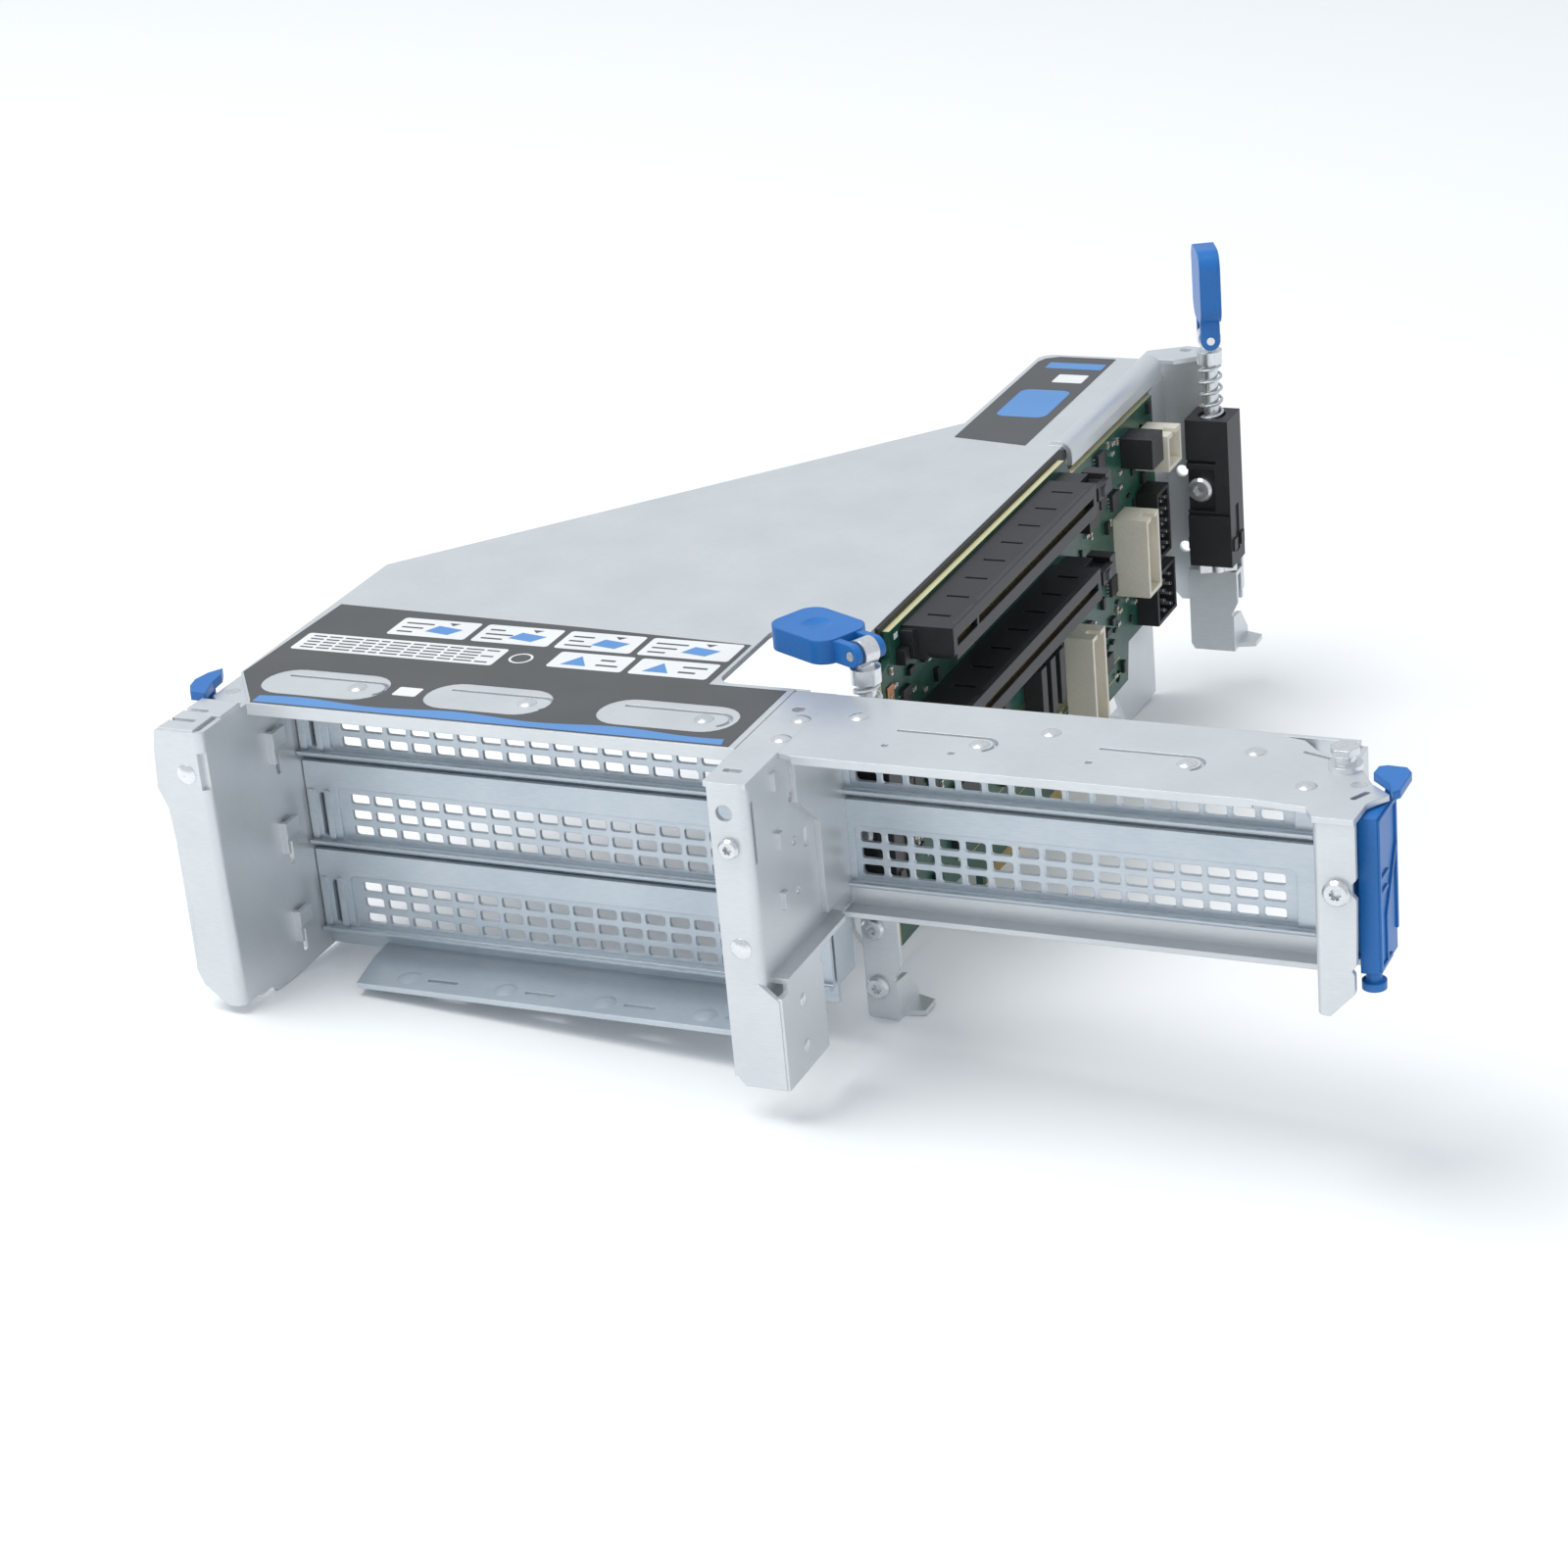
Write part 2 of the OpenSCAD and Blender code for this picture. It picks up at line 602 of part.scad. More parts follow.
function upper_z() = -2.1 - connector_t;
function left_z(i) = -2 * sheet_t - 0.5 - connector_t - slot_pitch * i;

module right_connector(i) color(black)
    translate([board_x1, connector_start, upper_z() - slot_pitch * i]) slot_connector();
module connector_upper() right_connector(0);
module connector_lower() right_connector(1);
module left_connector(i) color(black)
    translate([board_x0, connector_start, left_z(i)]) mirror([1, 0, 0]) slot_connector();

// The little lever that locks a card, on the pin in a connector's end block
module card_lever(i) color(black)
    translate([board_x1 + lever_at.x, connector_start + lever_at.y,
        upper_z() - slot_pitch * i + connector_t / 2]) difference() {
            union() {
                cylinder(h = 2, r = 1.8, center = true);
                translate([0, 0, -1]) linear_extrude(2)
                    polygon([[0, -1.6], [5.4, -3.2], [7.4, -0.6], [6.4, 4.6], [0.2, 4.6]]);
                translate([0.2, 4.3, -2.6]) cube([5.8, 3.7, 5.2]);
                translate([5.2, -3, -1.6]) cube([1.6, 7.5, 3.2]);
            }
            cylinder(h = 8, r = lever_pin_r + running_gap, center = true);
        }
module connector_lever_upper() card_lever(0);
module connector_lever_lower() card_lever(1);

// A socket for a power lead: an open box with a latch slot
module socket(size, wall = 1.1) {
    difference() {
        cube(size);
        translate([size.x - 6, wall, wall]) cube([7, size.y - 2 * wall, size.z - 2 * wall]);
        translate([size.x - 3, size.y / 2 - 1.2, size.z - 2]) cube([4, 2.4, 3]);
    }
}

module power_sockets() color(cream) {
    x = board_x1;
    translate([x, 200, -20.5]) socket([8.5, 10, 9]);
    translate([x, 182, -46]) socket([8.5, 9, 19.5]);
    translate([x, 145, -66]) socket([7, 9, 24]);
}

// A two-row pin header in its shroud
module header(size, pins) {
    difference() {
        cube(size);
        translate([1.5, 1, 1]) cube([size.x, size.y - 2, size.z - 2]);
    }
    for (k = [0:pins - 1], r = [0, 1])
        translate([1, size.y * (0.33 + 0.34 * r), 2.6 + k * (size.z - 5.2) / (pins - 1)])
            rotate([0, 90, 0]) cylinder(h = size.x - 0.6, r = 0.35, $fn = 16);
}

module pin_headers() color(black) {
    x = board_x1;
    translate([x, 196, -59]) header([5.5, 14, 13], 4);
    translate([x, 199, -43]) header([5.5, 9, 17], 5);
    translate([x, 190, -16.5]) cube([8, 8, 7.5]);
}

module board_parts() color("#3a3f45") {
    x = board_x1;
    translate([x, 47.8, -9.6]) cube([2.2, 2.4, 3.4]);
    for (k = [0:3]) translate([x, 44 + 0.2 * k, -26 - 6 * k]) cube([1.2, 3.4, 2.6]);
    for (k = [0:2]) translate([x, 118 + 6 * k, -52]) cube([4.5, 3.2, 13]);
    translate([x, 70, -62]) cube([1.6, 14, 14]);
    translate([x, 100, -60]) cube([1.2, 9, 9]);
    for (k = [0:5]) translate([x, 158 + 3.5 * k, -56]) cube([0.9, 1.6, 0.9]);
    translate([x, 160, -22]) cube([2.4, 7, 7]);
}

// ---------- latches ----------

// A leg: an upright plate with a foot tab folded back along one edge
module leg(x0, x1, y, top, screws) {
    bottom = -75.3;
    difference() {
        union() {
            sheet_xz(y) polygon([[x0, top], [x1, top], [x1, bottom + 13], [x1 - 1.5, bottom + 10],
                [x1 - 1.1, bottom + 1], [x1 - 2.2, bottom], [x0 + 0.9, bottom], [x0, bottom + 1.5]]);
            sheet_yz(x1 - 1.1 - sheet_t) polygon([[y, bottom + 9.3], [y + 6, bottom + 8.6],
                [y + 11, bottom + 2.6], [y + 11, bottom + 1], [y + 10, bottom], [y, bottom]]);
            sheet_xy(bottom, sheet_t) polygon([[x1 - 3, y + 3], [x1 - 1.1, y + 3], [x1 + 3, y + 4.4],
                [x1 + 3, y + 9.6], [x1 - 1.1, y + 11], [x1 - 3, y + 11]]);
        }
        for (z = screws) sheet_xz(y - 1, 4) translate([(x0 + x1) / 2 - 1.2, z]) circle(1.25);
    }
}

near_leg_x0 = 104.6;
near_leg_x1 = 112.5;
near_leg_y = near_y + 5.4;
rear_leg_x0 = 107.6;
rear_leg_x1 = 120;
near_leg_screws = [-54, -67.4];

module near_leg() color(steel) {
    shelf_z = guide_top - near_guide_h - 3.2 - sheet_t;
    leg(near_leg_x0, near_leg_x1, near_y - 0.6, shelf_z + sheet_t, near_leg_screws);
    // shelf under the cam, and the plate behind the guide with its flange on the board's side plate
    translate([near_leg_x0, near_y - 0.6, shelf_z]) cube([near_leg_x1 - near_leg_x0, 6.6, sheet_t]);
    sheet_xz(near_leg_y) translate([cover_x1, shelf_z]) square([14, -14 - shelf_z]);
    sheet_yz(cover_x1) translate([near_leg_y, shelf_z]) square([12, -16 - shelf_z]);
}

// The moulded guide of a latch shaft, with a window for the cam and a screw seat
module guide(x, y, h) color(black) translate([x, y, guide_top - h]) difference() {
    union() {
        translate([-5.4, -5, 0]) cube([10.8, 10.4, h]);
        translate([-5.9, -4, 4]) cube([11.8, 8, 3]);
    }
    translate([0, 0, -1]) cylinder(h = h + 2, r = shaft_r + running_gap);
    translate([0, 0, h - 6]) cylinder(h = 7, r = 3.4);
    translate([-6, -6, h - 11.2]) cube([8, 2, 0.9]);
    translate([-6, -6, h - 23.4]) cube([7.6, 2.4, 10.8]);
    translate([-6, -6, h - 24.6]) cube([11, 1.6, 0.9]);
    for (s = [-1, 1]) translate([s * 6, 0, 9]) cube([2, 3, 12], center = true);
    translate([-2.2, -4, h - 18]) rotate([-90, 0, 0]) cylinder(h = 1.8, r = 1.6);
}
module near_guide() guide(near_x, near_y, near_guide_h);
module rear_guide() guide(rear_x, rear_y, rear_guide_h);

// A latch shaft: the rod, the cam below the guide and the eye that carries the handle
module latch_shaft(x, y, turn, guide_h) color("#cfd5da") translate([x, y, 0]) rotate(turn) {
    cam_z = guide_top - guide_h - 2.9;
    translate([0, 0, cam_z]) cylinder(h = hinge_z - 2 - cam_z, r = shaft_r);
    translate([0, 0, guide_top + 13.2]) cylinder(h = 3.2, r = 3.1);
    translate([-4.6, -1.1, cam_z]) cube([9.2, 2.2, 2.4]);
    difference() {
        translate([0, 0, hinge_z]) rotate([90, 0, 0]) cylinder(h = eye_w, r = eye_r, center = true);
        translate([0, 0, hinge_z]) rotate([90, 0, 0]) cylinder(h = 12, r = hinge_r, center = true);
    }
}
eye_r = 2.8;
eye_w = 3.6;
ear_gap = 0.3;
ear_t = 1.7;
near_turn = -26;
rear_turn = 26;
module near_shaft() latch_shaft(near_x, near_y, near_turn, near_guide_h);
module rear_shaft() latch_shaft(rear_x, rear_y, rear_turn, rear_guide_h);

module hinge_pin(x, y, turn) color("#d8dde0") translate([x, y, hinge_z]) rotate(turn)
    rotate([90, 0, 0]) cylinder(h = eye_w + 2 * (ear_gap + ear_t), r = hinge_r, center = true);
module near_hinge_pin() hinge_pin(near_x, near_y, near_turn);
module rear_hinge_pin() hinge_pin(rear_x, rear_y, rear_turn);

// A latch handle, drawn lying along -X from its pin: a rounded paddle with two ears
module handle_flat() {
    paddle_x0 = -handle_len;
    paddle_x1 = -4.6;
    ear_y = eye_w / 2 + ear_gap;
    ear_r = 2.3;
    difference() {
        union() {
            translate([0, 0, -handle_t / 2]) linear_extrude(handle_t)
                rounded([paddle_x0, -handle_w / 2], [paddle_x1, handle_w / 2], 4);
            for (y = [ear_y, -ear_y - ear_t]) translate([0, y + ear_t, 0]) {
                translate([paddle_x1 - 3, -ear_t, -ear_r]) cube([3 - paddle_x1, ear_t, 2 * ear_r]);
                rotate([90, 0, 0]) cylinder(h = ear_t, r = ear_r);
            }
        }
        rotate([90, 0, 0]) cylinder(h = 20, r = hinge_r + running_gap, center = true);
        // the paddle's middle is hollowed for a finger
        translate([paddle_x0 + 8.4, 0, handle_t / 2 + 8]) sphere(8.6);
    }
}
module near_handle() color(blue) translate([near_x, near_y, hinge_z]) rotate(near_turn) handle_flat();
module rear_handle() color(blue) translate([rear_x, rear_y, hinge_z]) rotate(rear_turn)
    rotate([0, 90, 0]) handle_flat();

// A compression spring: a tube swept along a helix
module spring(x, y, z, h) {
    turns = 6;
    steps = turns * 14;
    sides = 6;
    coil_r = shaft_r + 0.75;
    rings = [for (s = [0:steps]) let (a = 360 * turns * s / steps, c = [coil_r * cos(a), coil_r * sin(a),
        wire_r + (h - 2 * wire_r) * s / steps]) [for (k = [0:sides - 1]) let (b = 360 * k / sides)
        c + [wire_r * cos(b) * cos(a), wire_r * cos(b) * sin(a), wire_r * sin(b)]]];
    points = [for (ring = rings, p = ring) p];
    walls = [for (s = [0:steps - 1], k = [0:sides - 1]) let (n = (k + 1) % sides)
        [s * sides + k, s * sides + n, (s + 1) * sides + n, (s + 1) * sides + k]];
    color("#c9ced2") translate([x, y, z]) polyhedron(points, concat([[for (k = [sides - 1:-1:0]) k]],
        walls, [[for (k = [0:sides - 1]) steps * sides + k]]));
}
module near_spring() spring(near_x, near_y, guide_top - 6 + 0.3, 18.7);
module rear_spring() spring(rear_x, rear_y, guide_top - 6 + 0.3, 18.7);

module rear_bracket() color(steel) {
    y = rear_y + 5.4;
    difference() {
        union() {
            sheet_xz(y) polygon([[cover_x1, -sheet_t], [cover_x1, -60], [104, -64], [118, -64], [120, -60],
                [120, -18], [114, -14], [112, -sheet_t]]);
            // flange along the board's side plate
            sheet_yz(cover_x1) translate([rear_y - 6, -56]) square([y + sheet_t - rear_y + 6, 50]);
            // top flange
            sheet_xy(-sheet_t) polygon([[97.2, cover_depth + 0.02], [106, cover_depth + 0.02], [112, y],
                [112, y + 6], [106, y + 7], [97.2, y + 2]]);
        }
        sheet_xy(-3, 4) translate([106.5, y + 3.8]) circle(1.4);
        for (z = [-30, -50]) sheet_xz(y - 1, 4) translate([105.5, z]) circle(1.5);
    }
}

module rear_foot() color(steel) {
    shelf_z = guide_top - rear_guide_h - 3.2 - sheet_t;
    width = rear_leg_x1 - rear_leg_x0;
    leg(rear_leg_x0, rear_leg_x1, rear_y + 0.5, shelf_z + sheet_t, []);
    translate([rear_leg_x0, rear_y + 0.5, shelf_z]) cube([width, 4.9, sheet_t]);
    sheet_xz(rear_y + 5.4 - sheet_t) translate([rear_leg_x0, shelf_z - 7]) square([width, 7 + sheet_t]);
}

// ---------- retainers ----------

function right_pivot_at() = [wing_x1 + 5, -10];
function left_pivot_at() = [cage_x0 - 6.4, -12];

// A retainer, drawn for the right end: a ribbed web that swings on a barrel
module retainer(h) {
    web_x = 4.6;
    web_y0 = -10.5;
    web_y1 = 1.5;
    rib = 1.2;
    difference() {
        union() {
            translate([0, 0, -h]) cylinder(h = h, r = 2.9);
            translate([web_x, web_y0, -h]) cube([1.4, web_y1 - web_y0, h]);
            for (y = [web_y0, web_y1 - rib]) translate([web_x - 2.2, y, -h]) cube([2.4, rib, h]);
            for (z = [-h, -h * 0.62, -h * 0.3, -rib]) translate([0, -1.2, z])
                cube([web_x + 0.2, 2.4, rib]);
            for (z = [-h, -h * 0.62, -h * 0.3, -rib]) translate([web_x - 2.2, web_y0, z])
                cube([2.4, web_y1 - web_y0, rib]);
        }
        translate([0, 0, -h - 1]) cylinder(h = h + 2, r = pivot_r + running_gap);
    }
}

module right_retainer() color(blue) {
    p = right_pivot_at();
    gap = 0.3;
    translate([p.x, p.y, -sheet_t - gap]) retainer(retainer_h);
    // finger tab above the flange
    translate([p.x, p.y, gap]) {
        linear_extrude(1.6) polygon([[2.2, 1.6], [2.4, 4.6], [3.8, 5.4], [7.4, 5.2], [8.8, 3.2], [8.8, -4.6],
            [7.8, -6], [6.2, -2.4]]);
        translate([4.8, -0.4, -sheet_t - 2 * gap - 1]) cube([1.2, 1.8, sheet_t + 2 * gap + 1.4]);
    }
    // stem below the web
    translate([p.x + 4.4, p.y - 8.8, -sheet_t - gap - retainer_h - 3.4]) {
        cylinder(h = 3.6, r = 1.5);
        cylinder(h = 1.6, r = 2.3);
    }
}
function right_floor_z() = -sheet_t - retainer_h - 0.6;
module right_pivot() color("#d8dde0") {
    p = right_pivot_at();
    translate([p.x, p.y, right_floor_z() - sheet_t]) cylinder(h = -right_floor_z() + sheet_t, r = pivot_r);
}

module left_retainer() color(blue) {
    p = left_pivot_at();
    gap = 0.3;
    translate([p.x, p.y, -2 * sheet_t - gap]) mirror([1, 0]) retainer(retainer_h);
    // finger tab beside the cover's corner
    translate([p.x, p.y, gap - sheet_t]) {
        linear_extrude(1.8) polygon([[-2.2, -6.8], [-5.9, -6.6], [-7.8, -3.6], [-8.6, -0.3], [-7.8, 3.4],
            [-6, 6.2], [-4.4, 3.2], [-4, -1]]);
        translate([-6.2, -3, -sheet_t - 2 * gap - 1]) cube([1.2, 4.2, sheet_t + 2 * gap + 1.4]);
    }
}
function left_floor_z() = -2 * sheet_t - retainer_h - 0.6;
module left_pivot() color("#d8dde0") {
    p = left_pivot_at();
    translate([p.x, p.y, left_floor_z() - sheet_t]) cylinder(h = -left_floor_z(), r = pivot_r);
}

// ---------- fasteners ----------

module corner_stud() color("#d8dde0") translate([wing_x1 + 0.6, -3.4, 0]) {
    cylinder(h = 1.2, r = 3.2);
    cylinder(h = 4.2, r = 2);
    translate([0, 0, 3]) cylinder(h = 1.4, r = 2.8, $fn = 6);
}

module cover_rivets() color("#d8dde0") {
    for (x = [8, 46.8, 85.6]) translate([x, -7.4, 0]) rivet(2);
    for (p = [[cage_x1 - 0.8, -3.5], [cage_x1 - 0.8, -13.1]]) translate(p) rivet(2);
}
module wing_rivets() color("#d8dde0") {
    for (p = [[8.7, 0], [47.9, 0.5], [88.1, 0.2], [101.4, -12.5]]) translate([divider_x + p.x, p.y, 0]) rivet(2);
    for (x = [36.5, 77.3]) translate([divider_x + x, -7.6, 0]) rivet(2);
}
module post_rivets() color("#d8dde0") {
    translate([cage_x0 - 4.8, post_y, -9.7]) rotate([90, 0, 0]) rivet(2.2);
    translate([divider_x - 4.3, post_y, -13.3]) rotate([90, 0, 0]) pan_screw(2.1, 1.3, 2);
    translate([divider_x - 4, post_y, -34.5]) rotate([90, 0, 0]) rivet(2.2);
    translate([wing_x1 + 4.6, end_y, -14.6]) rotate([90, 0, 0]) pan_screw(2.6, 1.5, 2);
    for (z = [-49.1, -59.1]) translate([lower_x, -25.6, z]) rotate([0, 90, 0]) rivet(1.4);
}
module leg_screws() color("#d8dde0") {
    for (z = near_leg_screws) translate([(near_leg_x0 + near_leg_x1) / 2 - 1.2, near_y - 0.6, z])
        rotate([90, 0, 0]) pan_screw(2.5, 1.4, 2.6);
    for (p = [[near_x, near_y], [rear_x, rear_y]]) translate([p.x - 2.2, p.y - 3.6, guide_top - 18])
        rotate([90, 0, 0]) pan_screw(3.1, 2, 1.4);
}

top_cover();
left_side_panel();
divider_panel();
slot_wall();
wing_frame();
end_post();
left_blank(0);  // blank_1
left_blank(1);  // blank_2
left_blank(2);  // blank_3
wing_blank(0);  // wing_blank_1
wing_blank(1);  // wing_blank_2
board_plate();
insulator_sheet();
riser_board();
connector_upper();
connector_lower();
left_connector(0);  // left_connector_1
left_connector(1);  // left_connector_2
left_connector(2);  // left_connector_3
connector_lever_upper();
connector_lever_lower();
power_sockets();
pin_headers();
board_parts();
near_leg();
near_guide();
near_shaft();
near_handle();
near_hinge_pin();
near_spring();
rear_bracket();
rear_foot();
rear_guide();
rear_shaft();
rear_handle();
rear_hinge_pin();
rear_spring();
left_retainer();
left_pivot();
right_retainer();
right_pivot();
corner_stud();
cover_rivets();
wing_rivets();
post_rivets();
leg_screws();
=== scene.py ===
import json
import math
import random

import bmesh
import bpy
from mathutils import Matrix, Vector


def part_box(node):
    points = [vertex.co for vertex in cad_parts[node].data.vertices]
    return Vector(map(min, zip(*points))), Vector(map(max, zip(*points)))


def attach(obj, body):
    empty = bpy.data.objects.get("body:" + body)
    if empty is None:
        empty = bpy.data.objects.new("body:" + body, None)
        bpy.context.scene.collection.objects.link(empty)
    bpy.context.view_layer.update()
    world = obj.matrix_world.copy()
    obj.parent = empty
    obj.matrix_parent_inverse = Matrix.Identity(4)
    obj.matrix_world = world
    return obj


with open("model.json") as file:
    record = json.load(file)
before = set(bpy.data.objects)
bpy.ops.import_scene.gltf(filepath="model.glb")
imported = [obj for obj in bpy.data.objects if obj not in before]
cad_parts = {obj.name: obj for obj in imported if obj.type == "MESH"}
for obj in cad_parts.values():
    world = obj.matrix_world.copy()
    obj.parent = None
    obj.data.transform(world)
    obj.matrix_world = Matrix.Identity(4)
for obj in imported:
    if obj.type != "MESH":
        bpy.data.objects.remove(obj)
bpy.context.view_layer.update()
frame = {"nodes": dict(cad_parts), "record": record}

scene = bpy.context.scene
MM = 0.001


def vec(x, y, z):
    """A point given in millimetres of the CAD frame."""
    return Vector((x * MM, y * MM, z * MM))


# ---------------------------------------------------------------- camera, stage and light

def make_camera():
    cam = bpy.data.cameras.new("camera")
    cam.sensor_width = 36
    cam.lens = 85.25
    cam.clip_start = 0.05
    cam.clip_end = 50
    ob = bpy.data.objects.new("camera", cam)
    scene.collection.objects.link(ob)
    forward = Vector((-0.3972, 0.8252, -0.4016)).normalized()
    right = Vector((0.9134, 0.3980, -0.0857)).normalized()
    up = right.cross(forward).normalized()
    turn = Matrix((right, up, -forward)).transposed().to_4x4()
    ob.matrix_world = Matrix.Translation(vec(387.6, -601.8, 277.0)) @ turn
    scene.camera = ob


def rest_plane():
    """The plane that the part rests on: through its three lowest feet."""
    foot = Vector(((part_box("board_plate")[0][0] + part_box("board_plate")[1][0]) / 2, 0.203,
                   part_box("board_plate")[0][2]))
    leg = Vector((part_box("near_leg")[1][0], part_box("near_leg")[0][1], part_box("near_leg")[0][2]))
    side = Vector((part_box("left_side_panel")[1][0], -0.0215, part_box("left_side_panel")[0][2]))
    normal = (leg - foot).cross(side - foot).normalized()
    if normal.z < 0:
        normal = -normal
    return foot, normal


def make_stage():
    point, normal = rest_plane()
    size = 6.0
    mesh = bpy.data.meshes.new("floor")
    mesh.from_pydata([(-size, -size, 0), (size, -size, 0), (size, size, 0), (-size, size, 0)], [],
                     [(0, 1, 2, 3)])
    floor = bpy.data.objects.new("floor", mesh)
    scene.collection.objects.link(floor)
    turn = Vector((0, 0, 1)).rotation_difference(normal).to_matrix().to_4x4()
    floor.matrix_world = Matrix.Translation(point) @ turn
    mat = bpy.data.materials.new("floor_paper")
    mat.use_nodes = True
    nt = mat.node_tree
    bsdf = nt.nodes["Principled BSDF"]
    bsdf.inputs["Base Color"].default_value = (0.97, 0.975, 0.98, 1)
    bsdf.inputs["Roughness"].default_value = 0.9
    mesh.materials.append(mat)


def area(name, place, target, size, power, tint=(1, 1, 1)):
    light = bpy.data.lights.new(name, "AREA")
    light.shape = "RECTANGLE"
    light.size, light.size_y = size
    light.energy = power
    light.color = tint
    ob = bpy.data.objects.new(name, light)
    scene.collection.objects.link(ob)
    aim = (Vector(target) - Vector(place)).to_track_quat("-Z", "Y")
    ob.matrix_world = Matrix.Translation(place) @ aim.to_matrix().to_4x4()


def make_light():
    world = bpy.data.worlds.new("studio")
    scene.world = world
    world.use_nodes = True
    nodes, links = world.node_tree.nodes, world.node_tree.links
    soft = nodes["Background"]
    soft.inputs[0].default_value = (0.90, 0.95, 1, 1)
    soft.inputs[1].default_value = 0.72
    paper = nodes.new("ShaderNodeBackground")
    paper.inputs[0].default_value = (1, 1, 1, 1)
    paper.inputs[1].default_value = 1
    path = nodes.new("ShaderNodeLightPath")
    pick = nodes.new("ShaderNodeMixShader")
    links.new(path.outputs["Is Camera Ray"], pick.inputs[0])
    links.new(soft.outputs[0], pick.inputs[1])
    links.new(paper.outputs[0], pick.inputs[2])
    links.new(pick.outputs[0], nodes["World Output"].inputs[0])
    area("key", (-0.45, -0.35, 1.7), (0.08, 0.08, 0), (1.2, 1.2), 23)
    scene.view_settings.view_transform = "Standard"


# ---------------------------------------------------------------- materials

def surface(name, dark, light, metal, rough, grain=900.0, stretch=(1, 1, 1), bump=0.02, spread=0.06,
            coarse=60.0, edge=0.00025):
    """A procedural finish: two tones mixed by a coarse cloud and a fine grain, with an uneven gloss.

    stretch draws the grain out into a brushed look, spread is the gloss's range either way, and
    edge is the radius in metres of the softened edges, with none at zero.
    """
    mat = bpy.data.materials.new(name)
    mat.use_nodes = True
    nodes, links = mat.node_tree.nodes, mat.node_tree.links
    bsdf = nodes["Principled BSDF"]
    coord = nodes.new("ShaderNodeTexCoord")
    fit = nodes.new("ShaderNodeMapping")
    fit.inputs["Scale"].default_value = stretch
    links.new(coord.outputs["Object"], fit.inputs["Vector"])
    fine = nodes.new("ShaderNodeTexNoise")
    fine.inputs["Scale"].default_value = grain
    fine.inputs["Detail"].default_value = 4
    links.new(fit.outputs[0], fine.inputs["Vector"])
    cloud = nodes.new("ShaderNodeTexNoise")
    cloud.inputs["Scale"].default_value = coarse
    cloud.inputs["Detail"].default_value = 3
    links.new(coord.outputs["Object"], cloud.inputs["Vector"])
    both = nodes.new("ShaderNodeMath")
    both.operation = "MULTIPLY_ADD"
    both.inputs[1].default_value = 0.45
    links.new(fine.outputs["Fac"], both.inputs[0])
    half = nodes.new("ShaderNodeMath")
    half.operation = "MULTIPLY"
    half.inputs[1].default_value = 0.55
    links.new(cloud.outputs["Fac"], half.inputs[0])
    links.new(half.outputs[0], both.inputs[2])
    ramp = nodes.new("ShaderNodeValToRGB")
    ramp.color_ramp.elements[0].position = 0.35
    ramp.color_ramp.elements[0].color = (*dark, 1)
    ramp.color_ramp.elements[1].position = 0.65
    ramp.color_ramp.elements[1].color = (*light, 1)
    links.new(both.outputs[0], ramp.inputs[0])
    links.new(ramp.outputs[0], bsdf.inputs["Base Color"])
    gloss = nodes.new("ShaderNodeMapRange")
    gloss.inputs["To Min"].default_value = rough - spread
    gloss.inputs["To Max"].default_value = rough + spread
    links.new(both.outputs[0], gloss.inputs[0])
    links.new(gloss.outputs[0], bsdf.inputs["Roughness"])
    bsdf.inputs["Metallic"].default_value = metal
    rise = nodes.new("ShaderNodeBump")
    rise.inputs["Strength"].default_value = bump
    rise.inputs["Distance"].default_value = 0.0002
    links.new(fine.outputs["Fac"], rise.inputs["Height"])
    if edge:
        soft_edge = nodes.new("ShaderNodeBevel")
        soft_edge.samples = 4
        soft_edge.inputs["Radius"].default_value = edge
        links.new(soft_edge.outputs[0], rise.inputs["Normal"])
    links.new(rise.outputs[0], bsdf.inputs["Normal"])
    return mat


MATS = {
    "zinc_sheet": surface("zinc_sheet", (0.64, 0.665, 0.68), (0.71, 0.73, 0.745), 0.55, 0.36,
                          grain=420, stretch=(1, 6, 6), bump=0.05),
    "bright_steel": surface("bright_steel", (0.66, 0.68, 0.69), (0.82, 0.83, 0.84), 0.85, 0.24,
                            grain=1500, bump=0.03, edge=0.0002),
    "blue_plastic": surface("blue_plastic", (0.004, 0.125, 0.42), (0.009, 0.165, 0.52), 0.0, 0.36,
                            grain=2600, bump=0.12, edge=0.0005),
    "black_plastic": surface("black_plastic", (0.012, 0.012, 0.013), (0.024, 0.024, 0.025), 0.0, 0.48,
                             grain=2600, bump=0.12, edge=0.0003),
    "cream_plastic": surface("cream_plastic", (0.66, 0.61, 0.50), (0.76, 0.72, 0.62), 0.0, 0.45,
                             grain=1800, bump=0.08, edge=0.0003),
    "board_green": surface("board_green", (0.006, 0.045, 0.03), (0.016, 0.095, 0.06), 0.0, 0.34,
                           grain=1100, stretch=(1, 0.25, 1), coarse=260, bump=0.25, edge=0),
}
LABEL = surface("label_grey", (0.072, 0.075, 0.079), (0.09, 0.093, 0.097), 0.0, 0.55, grain=2400,
                bump=0.05, edge=0)
LABEL_BLUE = surface("label_blue", (0.09, 0.25, 0.55), (0.11, 0.28, 0.60), 0.0, 0.5, grain=2400, edge=0)
LABEL_WHITE = surface("label_white", (0.72, 0.73, 0.74), (0.80, 0.81, 0.82), 0.0, 0.5, grain=2400,
                      edge=0)
GOLD = surface("contact_gold", (0.62, 0.40, 0.12), (0.80, 0.56, 0.22), 0.9, 0.28, grain=2000, edge=0)
COPPER = surface("copper", (0.55, 0.24, 0.12), (0.75, 0.36, 0.20), 0.9, 0.32, grain=2000, edge=0)
TAN = surface("chip_tan", (0.33, 0.24, 0.15), (0.46, 0.35, 0.23), 0.0, 0.5, grain=3000, edge=0)
